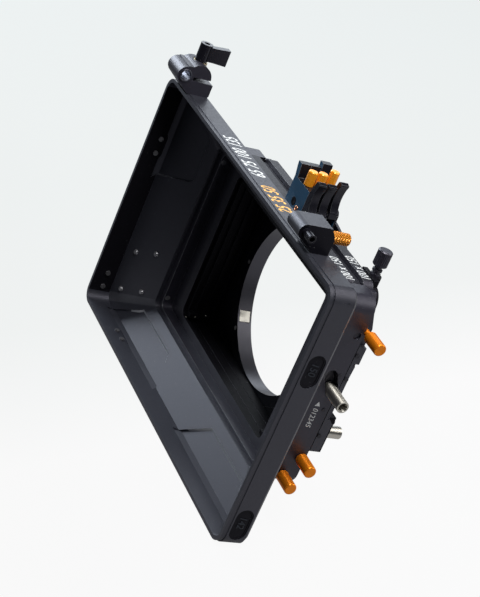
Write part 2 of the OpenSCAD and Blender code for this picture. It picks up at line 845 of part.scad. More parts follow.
// Shoulder pin on the rear bulkhead, hollow at its free end
module rear_pin() {
    face = bulkhead_y + bulkhead_t;
    color(steel) translate([rear_pin_x, 0, rear_pin_z]) difference() {
        union() {
            bar_y(rear_seat_d, face - rear_seat_l, rear_seat_l + 1);
            bar_y(pin_d, face, rear_pin_out);
        }
        bar_y(pin_bore_d - 0.8, face + 2, rear_pin_out);
    }
}

rail_screw_z = [-29, 13, 30];

module guide_rail(side) {
    foot = 1.8;
    color(black) scale([side, 1, 1]) translate([rear_side, 0, 0]) difference() {
        rotate([90, 0, 90]) linear_extrude(rail_t) union() {
            translate([step_y + rail_set, rail_low_z[0]])
                square([foot, rail_top_z[1] - rail_low_z[0]]);
            polygon([[step_y + rail_set, rail_low_z[0]], [step_y + 6.2, rail_low_z[0]],
                [step_y + 7.6, rail_low_z[0] + 1.5], [step_y + 7.6, rail_low_z[1] - 3],
                [step_y + 5, rail_low_z[1]], [step_y + rail_set, rail_low_z[1]]]);
            polygon([[step_y + rail_set, rail_mid_z[0]], [step_y + 3.4, rail_mid_z[0]],
                [step_y + 4.4, rail_mid_z[1]], [step_y + rail_set, rail_mid_z[1]]]);
            translate([step_y + rail_set, rail_top_z[0]])
                square([5.4, rail_top_z[1] - rail_top_z[0]]);
        }
        for (z = rail_screw_z) translate([0, step_y + 2.2, z])
            bar_x(1.6 + 2 * running, -1, rail_t + 2);
    }
}

module guide_rail_right() { guide_rail(1); }
module guide_rail_left() { guide_rail(-1); }

module rail_screws() {
    color(dark_grey) for (s = [-1, 1], z = rail_screw_z)
        translate([s * (rear_side + rail_t), step_y + 2.2, z]) rotate([0, s * 90, 0]) {
            cylinder(d = 2.8, h = 0.8);
            translate([0, 0, -rail_t + 0.1]) cylinder(d = 1.6, h = rail_t);
        }
}

module lock_thumbscrew() {
    r = thumb_neck_d / 2;
    color(black) translate([thumb_x, thumb_y, lug_top]) {
        translate([0, 0, -thumb_shaft_l]) cylinder(d = thumb_shaft_d, h = thumb_shaft_l + eps);
        rotate_extrude() polygon([[0, 0], [r, 0], [r, 1.4], [r - 0.8, 1.8], [r - 0.8, 2.6],
            [r, 3], [r, 4.4], [r - 0.8, 4.8], [r - 0.8, thumb_neck_h], [0, thumb_neck_h]]);
        translate([0, 0, thumb_neck_h - eps]) knurled(thumb_d, thumb_h, 24, 0.3);
    }
}

// Split clamp that holds the left flag pin
module left_clamp_profile() {
    difference() {
        union() {
            translate([flag_y, flag_z]) circle(flag_pin_d / 2 + 1.7);
            intersection() {
                translate([jaw_y, jaw_z]) circle(jaw_r);
                translate([jaw_y - far / 2, slit_z]) square(far);
            }
            translate([flag_y, slit_z]) square([jaw_y - flag_y, jaw_z + jaw_r - slit_z - 2.2]);
            polygon([[hood_y + 0.5, band_top], [hood_y + 16, band_top], [hood_y + 16.8, band_top + 1],
                [hood_y + 16.8, slit_z - 0.4], [hood_y + 15.4, slit_z], [flag_y, slit_z],
                [flag_y - 4.5, slit_z - 1.5]]);
        }
        translate([hood_y + 1.2, slit_z]) square([far, slit_t]);
        translate([flag_y, flag_z]) circle(flag_pin_d / 2);
    }
}

module at_left_clamp_screws() {
    for (s = [-1, 1])
        translate([clamp_mid_x + s * clamp_bolt_out, hood_y + clamp_bolt_back, 0]) children();
}

module left_flag_clamp() {
    color(black) difference() {
        translate([clamp_x - left_clamp_w, 0, 0]) rotate([90, 0, 90])
            linear_extrude(left_clamp_w) left_clamp_profile();
        translate([lever_x, lever_y, band_top + 2])
            cylinder(d = lever_bolt_d + 2 * running, h = far);
        translate([lever_x, lever_y, lever_z]) cylinder(d = lever_seat_d, h = far);
        at_left_clamp_screws() mount_bolt_hole(clamp_bolt_in + 1);
    }
}

module left_flag_pin() {
    color(steel) translate([0, flag_y, flag_z])
        tube_x(flag_pin_d, flag_pin_d - 2 * flag_pin_wall, clamp_x - left_clamp_w + 0.5, left_clamp_w + 0.3);
}

module lever_washer() {
    color(brass) translate([lever_x, lever_y, lever_z]) difference() {
        cylinder(d = 9.6, h = washer_t - 0.1);
        translate([0, 0, -1]) cylinder(d = lever_bolt_d + 2 * running, h = washer_t + 2);
    }
}

module left_clamp_lever() {
    base = lever_z + washer_t;
    wing_t = 5;
    color(black) translate([lever_x, lever_y, 0]) {
        translate([0, 0, band_top + 3]) cylinder(d = lever_bolt_d, h = base - band_top - 3 + eps);
        difference() {
            translate([0, 0, base]) cylinder(d = lever_hub_d, h = lever_hub_h);
            translate([0, 0, base + lever_hub_h - 2]) cylinder(d = 4.6, h = 3, $fn = 6);
        }
        translate([lever_hub_d / 2 - wing_t, 0, base + 0.8]) rotate([90, 0, 90])
            linear_extrude(wing_t)
                polygon([[2, 0.6], [6, 0.6], [lever_reach, 0], [lever_reach, 11.4], [6, 10.8],
                    [2, 10.8]]);
    }
}

module left_clamp_screws() {
    color(dark_grey) at_left_clamp_screws() mount_bolt(clamp_bolt_in);
}

// Bolt from inside the band, its head under the top wall
module mount_bolt(past) {
    translate([0, 0, band_top - band_wall - bolt_head_t]) cylinder(d = bolt_head_d, h = bolt_head_t);
    translate([0, 0, band_top - band_wall - 0.1]) cylinder(d = mount_bolt_d, h = band_wall + past);
}

// Bracket that holds the right flag rod in its round nose
module right_block_outline() {
    top = band_top + block_h;
    polygon([[flag_y, flag_z], [flag_y - 1, top - 0.4], [flag_y + 2, top], [block_back_y - 4, top],
        [block_back_y, top - 6.5], [block_back_y, band_top], [hood_y + 3.8, band_top],
        [flag_y - block_nose * 0.6, flag_z - block_nose * 0.7]]);
}

module at_right_block_screws() {
    for (s = [-1, 1])
        translate([flag_screw_x + s * block_bolt_out, hood_y + block_bolt_back, 0]) children();
}

module right_flag_block() {
    color(black) difference() {
        union() {
            translate([block_x, 0, 0]) rotate([90, 0, 90])
                linear_extrude(right_block_w) right_block_outline();
            translate([0, flag_y, flag_z]) bar_x(2 * block_nose, block_x, right_block_w);
        }
        translate([0, flag_y, flag_z])
            bar_x(rod_seat_d + 2 * running, block_x - 1, right_block_w + 2);
        translate([flag_screw_x, 0, flag_screw_z])
            bar_y(3 + 2 * running, flag_y + flag_rod_d, 30);
        at_right_block_screws() mount_bolt_hole(block_bolt_in + 1);
    }
}

module right_flag_rod() {
    face = block_x + right_block_w;
    color(soft_black) translate([0, flag_y, flag_z]) difference() {
        union() {
            bar_x(rod_seat_d, block_x, right_block_w + 1);
            bar_x(flag_rod_d, face, rod_out);
        }
        bar_x(flag_rod_d - 2.2, face + rod_out - 3, 4);
    }
}

module right_flag_screw() {
    color(orange) translate([flag_screw_x, 0, flag_screw_z]) {
        bar_y(3, hood_y + 3, block_back_y - hood_y - 3 + 1.5 + eps);
        translate([0, block_back_y + 1.5, 0]) rotate([-90, 0, 0])
            knurled(flag_screw_d, flag_screw_l, 20, 0.25);
    }
}

module right_block_screws() {
    color(dark_grey) at_right_block_screws() mount_bolt(block_bolt_in);
}

hood_shell();
hood_rivets();
flag_plate_right_upper();
flag_plate_right_lower();
flag_plate_left_upper();
flag_plate_left_lower();
flag_plate_bottom();
flag_plate_screws();
throat_frame();
throat_screws();
tray_housing();
side_screws();
rear_bulkhead();
bulkhead_screws();
lens_ring();
ring_screws();
clamp_shoe();
clamp_screw();
filter_tray_1();
filter_tray_2();
filter_tray_3();
catch_lever_1();
catch_lever_2();
catch_lever_3();
catch_pin_1();
catch_pin_2();
catch_pin_3();
lever_pivot_1();
lever_pivot_2();
lever_pivot_3();
stage_knob_1();
stage_knob_2();
stage_knob_3();
release_pin();
rear_pin();
guide_rail_right();
guide_rail_left();
rail_screws();
lock_thumbscrew();
left_flag_clamp();
left_flag_pin();
left_clamp_lever();
lever_washer();
left_clamp_screws();
right_flag_block();
right_flag_rod();
right_flag_screw();
right_block_screws();
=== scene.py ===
# Looks of a matte box: finishes, broken edges, printed numbers and studio light.
import bpy
import bmesh
import json
import math
from mathutils import Matrix, Vector


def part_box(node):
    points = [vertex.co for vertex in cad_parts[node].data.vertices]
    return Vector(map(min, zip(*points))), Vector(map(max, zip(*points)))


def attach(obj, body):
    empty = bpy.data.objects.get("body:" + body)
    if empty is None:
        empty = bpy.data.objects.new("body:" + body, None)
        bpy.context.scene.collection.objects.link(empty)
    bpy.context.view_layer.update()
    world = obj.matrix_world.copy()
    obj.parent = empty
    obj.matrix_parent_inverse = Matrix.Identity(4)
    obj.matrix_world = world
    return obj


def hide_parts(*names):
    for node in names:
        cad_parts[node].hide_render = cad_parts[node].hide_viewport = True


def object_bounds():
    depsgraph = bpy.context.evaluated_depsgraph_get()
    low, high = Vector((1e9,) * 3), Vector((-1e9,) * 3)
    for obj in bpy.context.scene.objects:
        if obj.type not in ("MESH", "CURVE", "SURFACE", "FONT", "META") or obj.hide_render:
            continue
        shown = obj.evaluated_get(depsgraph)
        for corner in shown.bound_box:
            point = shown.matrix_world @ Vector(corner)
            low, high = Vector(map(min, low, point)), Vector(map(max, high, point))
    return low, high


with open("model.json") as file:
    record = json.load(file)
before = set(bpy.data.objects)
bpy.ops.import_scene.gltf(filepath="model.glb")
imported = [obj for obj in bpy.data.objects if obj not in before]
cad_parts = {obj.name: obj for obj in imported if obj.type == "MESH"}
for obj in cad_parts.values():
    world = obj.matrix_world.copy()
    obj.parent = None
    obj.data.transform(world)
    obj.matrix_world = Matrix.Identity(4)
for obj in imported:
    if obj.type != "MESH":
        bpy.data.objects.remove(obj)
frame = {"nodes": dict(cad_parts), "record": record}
cad_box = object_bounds()
scene = bpy.context.scene
scene.view_settings.view_transform = "Standard"
nodes = frame["nodes"]
node_body = {n: b for b, ns in frame["record"]["behaviour"]["bodies"].items() for n in ns}
node_slot = {p["node"]: p["material_slot"] for p in frame["record"]["subparts"]}
MM = 0.001

# Boxes that marks and finishes are placed from, in metres
hood_low, hood_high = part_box("hood_shell")
housing_low, housing_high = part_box("tray_housing")
RIM = housing_high.z

# Nodes that come in sets
STAGES = (1, 2, 3)
PLATE_PLACES = ("right_upper", "right_lower", "left_upper", "left_lower", "bottom")
PLATES = [f"flag_plate_{place}" for place in PLATE_PLACES]


def staged(stem):
    return [f"{stem}_{k}" for k in STAGES]


# Turns {value: its nodes} into {node: value}
def by_node(groups):
    return {node: value for value, names in groups.items() for node in names}


# Camera, found from the box's own parallel edges and the ring's outline
CAMERA_PLACE = Vector((0.8271, -0.5603, 0.4329))
PICTURE_RIGHT = Vector((0.34875998, 0.86268458, 0.36625372))
PICTURE_DOWN = Vector((0.52595242, 0.14329654, -0.83835562))
LENS = 100.24
FILM = 36


def place_camera():
    ahead = PICTURE_RIGHT.cross(PICTURE_DOWN)
    data = bpy.data.cameras.new("Camera")
    data.sensor_fit = "VERTICAL"
    data.sensor_width = FILM
    data.sensor_height = FILM
    data.lens = LENS
    data.clip_start = 0.05
    data.clip_end = 100
    cam = bpy.data.objects.new("Camera", data)
    scene.collection.objects.link(cam)
    turn = Matrix((PICTURE_RIGHT, -PICTURE_DOWN, -ahead)).transposed()
    cam.matrix_world = Matrix.Translation(CAMERA_PLACE) @ turn.to_4x4()
    scene.camera = cam


place_camera()

mats = {}


# Node helpers
def new_material(name):
    mat = bpy.data.materials.new(name)
    mats[name] = mat
    mat.use_nodes = True
    tree = mat.node_tree
    tree.nodes.clear()
    out = tree.nodes.new("ShaderNodeOutputMaterial")
    shader = tree.nodes.new("ShaderNodeBsdfPrincipled")
    tree.links.new(shader.outputs[0], out.inputs[0])
    return mat, tree, shader


# Where a point of the surface lies, in metres
def place_on(tree):
    return tree.nodes.new("ShaderNodeTexCoord").outputs["Object"]


def noise(tree, scale, detail=2.0, rough=0.5, stretch=None):
    source = place_on(tree)
    if stretch:
        mapping = tree.nodes.new("ShaderNodeMapping")
        mapping.inputs["Scale"].default_value = stretch
        tree.links.new(source, mapping.inputs[0])
        source = mapping.outputs[0]
    tex = tree.nodes.new("ShaderNodeTexNoise")
    tex.inputs["Scale"].default_value = scale
    tex.inputs["Detail"].default_value = detail
    tex.inputs["Roughness"].default_value = rough
    tree.links.new(source, tex.inputs["Vector"])
    return tex.outputs["Fac"]


def ramp(tree, fac, stops):
    node = tree.nodes.new("ShaderNodeValToRGB")
    points = node.color_ramp.elements
    while len(points) < len(stops):
        points.new(0.5)
    for point, (place, colour) in zip(points, stops):
        point.position = place
        point.color = (*colour, 1)
    tree.links.new(fac, node.inputs[0])
    return node.outputs[0]


# Spreads the middle of a noise over low to high
def span(tree, fac, low, high):
    node = tree.nodes.new("ShaderNodeMapRange")
    node.inputs["From Min"].default_value = 0.3
    node.inputs["From Max"].default_value = 0.7
    node.inputs["To Min"].default_value = low
    node.inputs["To Max"].default_value = high
    tree.links.new(fac, node.inputs[0])
    return node.outputs[0]


# One sum on two values, each a number or another node's output
def maths(tree, kind, a, b=None):
    node = tree.nodes.new("ShaderNodeMath")
    node.operation = kind
    for socket, value in zip(node.inputs, (a, b)):
        if isinstance(value, (int, float)):
            socket.default_value = value
        elif value is not None:
            tree.links.new(value, socket)
    return node.outputs[0]


def bump(tree, shader, height, strength, depth):
    node = tree.nodes.new("ShaderNodeBump")
    node.inputs["Strength"].default_value = strength
    node.inputs["Distance"].default_value = depth
    tree.links.new(height, node.inputs["Height"])
    tree.links.new(node.outputs[0], shader.inputs["Normal"])


def shade(colour, k):
    return tuple(min(1.0, c * k) for c in colour)


# Anodised aluminium: blasted grain, faint cloudiness and specks of dust
def anodised(name, colour, rough, metal=0.0, level=0.5, grain=2600, vary=0.1):
    _, tree, shader = new_material(name)
    cloud = noise(tree, 240, 4, 0.6)
    fine = noise(tree, grain, 2, 0.6)
    darker, lighter = shade(colour, 1 - vary), shade(colour, 1 + vary)
    tone = ramp(tree, cloud, [(0.3, darker), (0.5, colour), (0.72, lighter)])
    clear, dusty = (0, 0, 0), (0.9, 0.9, 0.9)
    dust = ramp(tree, noise(tree, 1100, 1, 0.5), [(0.0, clear), (0.74, clear), (0.8, dusty)])
    specks = tree.nodes.new("ShaderNodeMix")
    specks.data_type = "RGBA"
    specks.inputs["B"].default_value = (0.11, 0.115, 0.12, 1)
    tree.links.new(dust, specks.inputs["Factor"])
    tree.links.new(tone, specks.inputs["A"])
    tree.links.new(specks.outputs["Result"], shader.inputs["Base Color"])
    wear = span(tree, noise(tree, 420, 4, 0.65), rough - 0.03, rough + 0.04)
    tree.links.new(wear, shader.inputs["Roughness"])
    shader.inputs["Metallic"].default_value = metal
    shader.inputs["Specular IOR Level"].default_value = level
    shader.inputs["Specular Tint"].default_value = (0.86, 0.85, 1.0, 1)
    bump(tree, shader, fine, 0.22, 0.00012)


# Turned metal: fine rings run round one axis (0, 1 or 2) and draw its gloss out along it
def turned(name, colour, rough, axis, metal=1.0):
    _, tree, shader = new_material(name)
    stretch = tuple(1.0 if i == axis else 0.02 for i in range(3))
    ring = noise(tree, 5200, 2, 0.5, stretch)
    tone = ramp(tree, noise(tree, 120, 3, 0.6), [(0.3, shade(colour, 0.95)), (0.7, shade(colour, 1.03))])
    tree.links.new(tone, shader.inputs["Base Color"])
    tree.links.new(span(tree, ring, rough - 0.03, rough + 0.04), shader.inputs["Roughness"])
    shader.inputs["Metallic"].default_value = metal
    tangent = tree.nodes.new("ShaderNodeTangent")
    tangent.direction_type = "RADIAL"
    tangent.axis = "XYZ"[axis]
    tree.links.new(tangent.outputs[0], shader.inputs["Tangent"])
    shader.inputs["Anisotropic"].default_value = 0.75
    shader.inputs["Anisotropic Rotation"].default_value = 0.25
    bump(tree, shader, ring, 0.12, 0.00005)


# Diamond knurl cut round an axis along Y, with painted shade in the grooves and a painted highlight on the
# points
def knurled(name, colour, rough, node):
    diamonds = 13
    _, tree, shader = new_material(name)
    low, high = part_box(node)
    middle = (low + high) / 2
    radius = (high.x - low.x) / 2
    part = tree.nodes.new("ShaderNodeSeparateXYZ")
    tree.links.new(place_on(tree), part.inputs[0])
    x, y, z = part.outputs
    across = maths(tree, "SUBTRACT", x, middle.x)
    upwards = maths(tree, "SUBTRACT", z, middle.z)
    angle = maths(tree, "ARCTAN2", across, upwards)
    turn = maths(tree, "MULTIPLY", angle, diamonds)
    along = maths(tree, "MULTIPLY", y, diamonds / radius)

    def groove(lean):
        phase = maths(tree, "MULTIPLY", maths(tree, lean, turn, along), 0.5)
        return maths(tree, "ABSOLUTE", maths(tree, "SINE", phase))

    height = maths(tree, "MINIMUM", groove("ADD"), groove("SUBTRACT"))
    # Painted shade and highlight: the grooves go dark and the points a little lighter
    tone = ramp(tree, height, [(0.05, shade(colour, 0.3)), (0.4, colour), (0.8, shade(colour, 1.15))])
    tree.links.new(tone, shader.inputs["Base Color"])
    shader.inputs["Metallic"].default_value = 0.4
    shader.inputs["Roughness"].default_value = rough
    bump(tree, shader, height, 0.8, 0.0004)


# Printed ink with a slightly worn face
def ink(name, colour):
    _, tree, shader = new_material(name)
    tone = ramp(tree, noise(tree, 900, 3, 0.7), [(0.34, shade(colour, 0.62)), (0.5, colour)])
    tree.links.new(tone, shader.inputs["Base Color"])
    tree.links.new(span(tree, noise(tree, 1500, 2), 0.5, 0.66), shader.inputs["Roughness"])
    bump(tree, shader, noise(tree, 3800, 2), 0.2, 0.00005)


ORANGE = (1.0, 0.28, 0.010)
# The orange anodising painted yellower as lit from above, for the catch pins and the knurled screw
TOP_LIT_ORANGE = (1.0, 0.36, 0.014)
X, Y, Z = 0, 1, 2

# Coloured anodising
anodised("black_anodised", (0.0135, 0.0148, 0.0205), 0.44, level=1.0)
anodised("soft_black", (0.015, 0.0145, 0.022), 0.42, level=0.75)
anodised("block_navy", (0.009, 0.056, 0.115), 0.36, level=0.6)
turned("orange_anodised", ORANGE, 0.38, X, metal=0.65)
# Catch pins in the yellower orange, a painted lit tone
turned("orange_pins", TOP_LIT_ORANGE, 0.28, Z, metal=0.2)
knurled("orange_knurl", shade(TOP_LIT_ORANGE, 0.68), 0.3, "right_flag_screw")

# Bare metal and screws
# Two copies of one stainless that differ in brightness as painted light and shade: lighter along X, a
# little darker along Y
turned("stainless", (0.70, 0.68, 0.62), 0.44, X)
turned("stainless_y", (0.66, 0.64, 0.58), 0.4, Y)
anodised("screw_black", (0.04, 0.04, 0.046), 0.3, metal=0.5)
# A grey lighter than the screws' black, painted as the highlights of the flag plates' screws
anodised("plate_screw", (0.14, 0.14, 0.15), 0.28, metal=0.6)
anodised("rivet", (0.32, 0.32, 0.34), 0.3, metal=0.7)
turned("screw_steel", (0.42, 0.41, 0.40), 0.36, Y)
turned("blue_steel", (0.22, 0.225, 0.27), 0.38, X)
turned("washer", (0.56, 0.47, 0.30), 0.34, Z)
turned("copper", (0.78, 0.38, 0.22), 0.3, Y)

# Broken edges, painted lighter than their faces as edge highlights, and blacks of single faces and pieces
anodised("edge", (0.20, 0.207, 0.222), 0.34, metal=0.4, vary=0.3)
# Panel walls painted grey as highlight: light grey on the bottom's walls, dark grey on the others
anodised("lit_panel_edge", (0.34, 0.355, 0.38), 0.34, level=1.0)
anodised("panel_edge", (0.04, 0.042, 0.05), 0.36, level=1.0)
# dark_edge: broken edges of the gloss and inner blacks, painted a little lighter as their highlight
anodised("dark_edge", (0.05, 0.051, 0.056), 0.3, metal=0.3, vary=0.3)
# Near black painted as shade inside the housing, on the band's short inner sides, the rear bulkhead and the
# trays' frames
anodised("inner_black", (0.0045, 0.0042, 0.006), 0.55, level=0.12)
# A lighter black for the lens ring, painted as sheen on its bore
anodised("ring_black", (0.032, 0.032, 0.038), 0.36, level=1.0)
# A darker black painted as shade on the tray bars' tops and on the bevels below them
anodised("bar_black", (0.011, 0.0112, 0.015), 0.5, level=0.5)
anodised("plate_black", (0.006, 0.006, 0.009), 0.3, level=0.16)
anodised("gloss_black", (0.006, 0.006, 0.009), 0.24, level=0.5, grain=3200)

# Inks
ink("white_ink", (0.72, 0.745, 0.76))
ink("amber_ink", (0.90, 0.50, 0.13))
ink("dim_ink", (0.015, 0.020, 0.032))


# Points closer than this in metres become one, and faces flatter than this in degrees too
JOIN_WITHIN = 2e-6
FLAT_WITHIN = 0.4
# An edge sharper than this in degrees is broken, and shading parts at one sharper than the next
BREAK_FROM = 40
SHARP_FROM = 38


# Plain mesh of a CAD node, flat faces joined up again
def clean_mesh(node):
    bm = bmesh.new()
    bm.from_mesh(nodes[node].data)
    bmesh.ops.remove_doubles(bm, verts=bm.verts, dist=JOIN_WITHIN)
    bmesh.ops.dissolve_limit(bm, angle_limit=math.radians(FLAT_WITHIN), verts=bm.verts, edges=bm.edges)
    bm.verts.index_update()
    points = [v.co.copy() for v in bm.verts]
    faces = [[v.index for v in f.verts] for f in bm.faces]
    bm.free()
    mesh = bpy.data.meshes.new(node + "_finish")
    mesh.from_pydata(points, [], faces)
    mesh.update()
    return mesh


def bake_modifiers(obj):
    graph = bpy.context.evaluated_depsgraph_get()
    done = bpy.data.meshes.new_from_object(obj.evaluated_get(graph))
    obj.modifiers.clear()
    obj.data = done


# Smooth faces that part only at edges sharper than an angle in degrees
def smooth(mesh, sharp):
    for poly in mesh.polygons:
        poly.use_smooth = True
    mesh.set_sharp_from_angle(angle=math.radians(sharp))


# Shades a piece so that its large faces look flat, and gives it its body
def finish_piece(obj, body):
    smooth(obj.data, SHARP_FROM)
    mod = obj.modifiers.new("Normals", "WEIGHTED_NORMAL")
    mod.keep_sharp = True
    bake_modifiers(obj)
    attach(obj, body)


# Material indices of a piece that broken_edges makes
FACES = 0
BEVEL_FACES = 1


# A node's own shape with its edges broken, and the broken edge in its own finish
def broken_edges(node, width, body_mat, edge_mat):
    obj = bpy.data.objects.new(node + "_finish", clean_mesh(node))
    scene.collection.objects.link(obj)
    obj.data.materials.append(body_mat)
    obj.data.materials.append(edge_mat)
    mod = obj.modifiers.new("Edges", "BEVEL")
    mod.width = width * MM
    mod.segments = 2
    mod.limit_method = "ANGLE"
    mod.angle_limit = math.radians(BREAK_FROM)
    mod.use_clamp_overlap = True
    mod.material = BEVEL_FACES
    mod.miter_outer = "MITER_SHARP"
    bake_modifiers(obj)
    finish_piece(obj, node_body[node])
    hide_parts(node)


# Width of the broken edges in mm. Nodes that aren't named keep their CAD mesh.
EDGE_WIDTH = by_node({
    0.5: ["right_flag_block"] + staged("stage_knob"),
    0.45: ["hood_shell", "tray_housing", "left_clamp_lever"],
    0.35: ["rear_bulkhead", "left_flag_clamp"] + staged("filter_tray") + staged("catch_lever"),
    0.3: ["throat_frame", "lens_ring", "guide_rail_right", "guide_rail_left"],
    0.25: ["left_flag_pin", "release_pin", "rear_pin"],
    0.2: ["right_flag_rod", "clamp_shoe"] + PLATES,
    0.15: ["lever_washer"],
})

# Finishes of nodes that differ from the name of their slot
FINISH = by_node({
    "stainless_y": ["rear_pin"] + staged("lever_pivot"),
    "soft_black": ["lock_thumbscrew", "left_flag_clamp", "throat_frame"],
    "gloss_black": ["left_clamp_lever", "right_flag_rod"] + staged("catch_lever"),
    "blue_steel": ["left_flag_pin"],
    "rivet": ["hood_rivets", "throat_screws"],
    "plate_screw": ["flag_plate_screws"],
    "ring_black": ["lens_ring"],
    # The rear bulkhead is painted near black as shade
    "inner_black": ["rear_bulkhead"],
    "orange_pins": staged("catch_pin"),
    "orange_knurl": ["right_flag_screw"],
    "plate_black": PLATES,
})

# Finish of the broken edge by the finish beside it; most blacks get a lighter one, painted as an edge
# highlight. The other finishes run over their edges.
BEVEL_FINISH = {"black_anodised": "edge", "soft_black": "edge", "ring_black": "edge", "gloss_black": "dark_edge",
        "inner_black": "dark_edge", "plate_black": "inner_black"}

for name, obj in nodes.items():
    kind = FINISH.get(name, node_slot[name])
    if name in EDGE_WIDTH:
        broken_edges(name, EDGE_WIDTH[name], mats[kind], mats[BEVEL_FINISH.get(kind, kind)])
    else:
        obj.data.materials.clear()
        obj.data.materials.append(mats[kind])


# Gives the faces that the test picks out by centre and normal another finish
def repaint(node, finish, picked, index=FACES):
    mesh = bpy.data.objects[node + "_finish"].data
    mesh.materials.append(mats[finish])
    for poly in mesh.polygons:
        if poly.material_index == index and picked(poly.center, poly.normal):
            poly.material_index = len(mesh.materials) - 1


# Cuts a finish piece's faces along a level, so that a finish can end there
def split_level(node, z):
    mesh = bpy.data.objects[node + "_finish"].data
    bm = bmesh.new()
    bm.from_mesh(mesh)
    bmesh.ops.bisect_plane(bm, geom=bm.verts[:] + bm.edges[:] + bm.faces[:], dist=1e-6,
                           plane_co=(0, 0, z), plane_no=(0, 0, 1))
    bm.to_mesh(mesh)
    bm.free()


# A face looks along an axis where its normal's share of it is past this
FACING = 0.9

# Trays: the catch block's front is blue and its other faces black, the bar is painted darker on top as
# shade, and the frame below the bar near black as shade, its bevels without the painted edge highlight
BLOCK_FOOT = RIM + 0.0026
BLOCK_BLACK_FROM = RIM + 0.005
BAR_TOP = RIM + 0.004
BAR_FOOT = RIM - 0.006
for name in staged("filter_tray"):
    split_level(name, BLOCK_FOOT)
    split_level(name, BAR_FOOT)
    repaint(name, "block_navy", lambda c, n: c.z > BLOCK_FOOT and n.y < -FACING)
    repaint(name, "plate_black", lambda c, n: c.z > BLOCK_BLACK_FROM)
    repaint(name, "inner_black", lambda c, n: c.z < BAR_FOOT)
    repaint(name, "bar_black", lambda c, n: c.z < BAR_FOOT, BEVEL_FACES)
    repaint(name, "bar_black", lambda c, n: n.z > FACING and BAR_FOOT < c.z < BAR_TOP)


# Insides of the housing, which light hardly reaches, painted near black as shade
def in_housing(c, n):
    side_wall, top_wall = 0.008, 0.006
    return abs(c.x) < housing_high.x - side_wall and abs(c.z) < RIM - top_wall and housing_low.y < c.y


repaint("tray_housing", "inner_black", in_housing)
# Painted shade: the lens ring's front face near black, darker than its bore
repaint("lens_ring", "plate_black", lambda c, n: n.y < -FACING)
# Painted shade: the flag block's +X side near black
repaint("right_flag_block", "plate_black", lambda c, n: n.x > FACING)

# The flare inside the hood: about half its width and height at its front, in metres
FLARE_W = 0.14
FLARE_H = 0.085
# Its short walls lie past this X
SHORT_WALL_FROM = 0.09
# Each wall faces partly to the front and partly to the middle
LONG_WALL = (0.856, 0.517)
SHORT_WALL = (0.948, 0.319)
# Panels lie between these distances from the hood's front and from its rear, and within these
# half sizes
PANELS_BEHIND_FRONT = 0.016
PANELS_BEFORE_REAR = 0.004
PANELS_W = 0.138
PANELS_H = 0.084
# A panel's own sloping walls lean off the flare: least and most of the cosine between them
WALL_LEAST = 0.4
WALL_MOST = 0.97


# Sloping walls of the panels that are sunk in the flare
def panel_wall(c, n):
    facing = Vector((0, -LONG_WALL[0], -math.copysign(LONG_WALL[1], c.z)))
    if abs(c.x) > SHORT_WALL_FROM and abs(c.x) / FLARE_W > abs(c.z) / FLARE_H:
        facing = Vector((-math.copysign(SHORT_WALL[1], c.x), -SHORT_WALL[0], 0))
    in_depth = hood_low.y + PANELS_BEHIND_FRONT < c.y < hood_high.y - PANELS_BEFORE_REAR
    in_flare = abs(c.x) < PANELS_W and abs(c.z) < PANELS_H
    return in_depth and in_flare and WALL_LEAST < n.dot(facing) < WALL_MOST and n.y < 0


# The bottom's panel walls, short of the corners, which get the lighter painted highlight
def lit_panel_wall(c, n):
    below, corner = -0.05, 0.1065
    return c.z < below and abs(c.x) < corner and panel_wall(c, n)


# Inner faces of the band's two short sides, painted near black as shade
def band_side(c, n):
    band_from, straight = 0.13, 0.95
    return abs(c.x) > band_from and n.x * c.x < 0 and abs(n.x) > straight


# Painted highlight on the sloping walls of the sunk panels
repaint("hood_shell", "lit_panel_edge", lit_panel_wall)
repaint("hood_shell", "panel_edge", panel_wall)
repaint("hood_shell", "inner_black", band_side)


# Places a mesh drawn in mm: local X runs along the face, local Y up it, thickness outwards
def place_mark(mesh, name, origin, along, up, body, finish, slot_name):
    x, y = Vector(along), Vector(up)
    turn = Matrix((x, y, x.cross(y))).transposed().to_4x4()
    mesh.transform(Matrix.Translation(Vector(origin) * MM) @ turn @ Matrix.Scale(MM, 4))
    mesh.materials.append(mats[finish])
    mesh.name = name
    obj = bpy.data.objects.new(name, mesh)
    scene.collection.objects.link(obj)
    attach(obj, body)


# Printed marks in mm: how far a number stands each way from its face, its slant, and the
# levels between which a flat shape lies
NUMBER_DEPTH = 0.03
SLANT = 0.2
SHAPE_FROM = -0.02
SHAPE_TO = 0.05


# Slanted printed numbers as a thin mesh; weight thickens the strokes, narrow squeezes the width
def numbers(text, size, weight, narrow):
    curve = bpy.data.curves.new("numbers", "FONT")
    curve.body = text
    curve.size = size
    curve.shear = SLANT
    curve.offset = weight
    curve.extrude = NUMBER_DEPTH
    curve.resolution_u = 3
    holder = bpy.data.objects.new("numbers", curve)
    scene.collection.objects.link(holder)
    graph = bpy.context.evaluated_depsgraph_get()
    mesh = bpy.data.meshes.new_from_object(holder.evaluated_get(graph))
    bpy.data.objects.remove(holder)
    bpy.data.curves.remove(curve)
    mesh.transform(Matrix.Diagonal((narrow, 1, 1, 1)))
    return mesh


# One flat printed shape with straight sides
def flat_shape(points):
    bm = bmesh.new()
    low = [bm.verts.new((u, v, SHAPE_FROM)) for u, v in points]
    high = [bm.verts.new((u, v, SHAPE_TO)) for u, v in points]
    bm.faces.new(high)
    bm.faces.new(low[::-1])
    n = len(points)
    for i in range(n):
        bm.faces.new((low[i], low[(i + 1) % n], high[(i + 1) % n], high[i]))
    bmesh.ops.recalc_face_normals(bm, faces=bm.faces)
    mesh = bpy.data.meshes.new("shapes")
    bm.to_mesh(mesh)
    bm.free()
    return mesh


